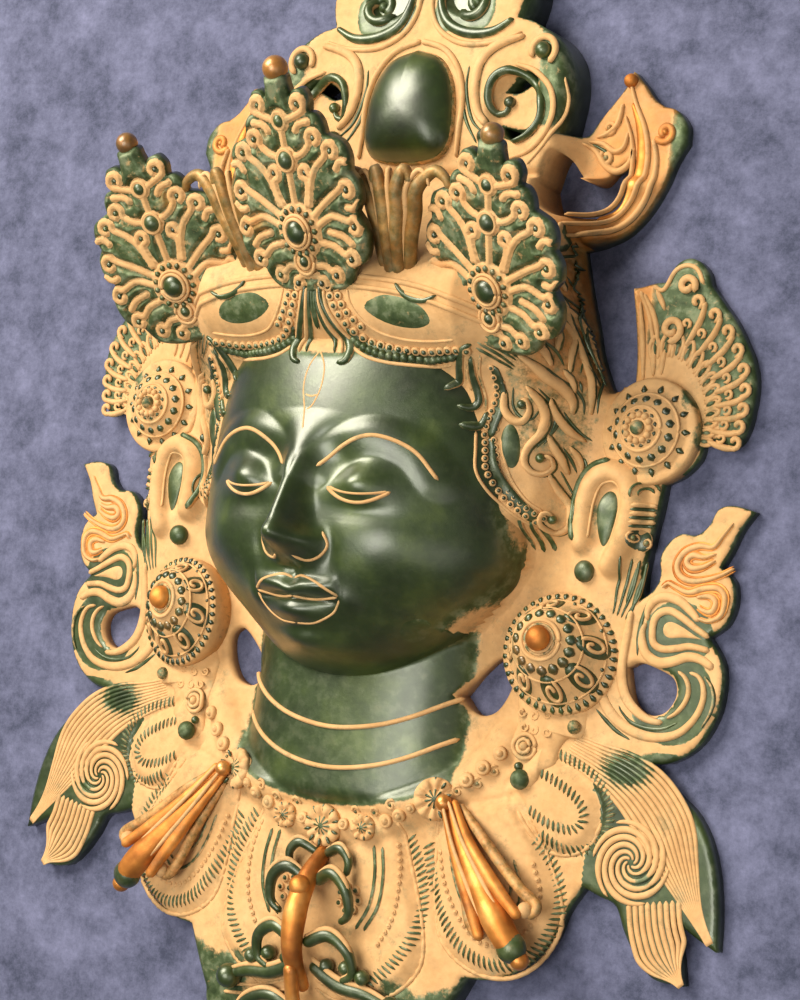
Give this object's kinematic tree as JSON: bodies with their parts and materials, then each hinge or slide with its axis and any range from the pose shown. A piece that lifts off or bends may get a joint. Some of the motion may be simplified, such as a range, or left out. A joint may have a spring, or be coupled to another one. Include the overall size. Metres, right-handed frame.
{
  "type": "brass wall mask",
  "caption": "Cast wall mask of a crowned figure with a calm face, tall crown leaves, disc earrings, a petal collar, side ribbons and wings.",
  "frame": {"origin": "centre of the mask's back, on the plane of its back rim", "axes": "+Y from the bottom pendant up to the top finial, +X to the right as one faces the mask, +Z out of the face"},
  "size_m": [0.424, 0.645, 0.1469],
  "materials": {
    "mask_casting": "cast brass with a dark green patina and a matte cream wash rubbed over the ornament"
  },
  "bodies": {
    "root": {"mask_casting": "mask_casting"}
  },
  "joints": []
}
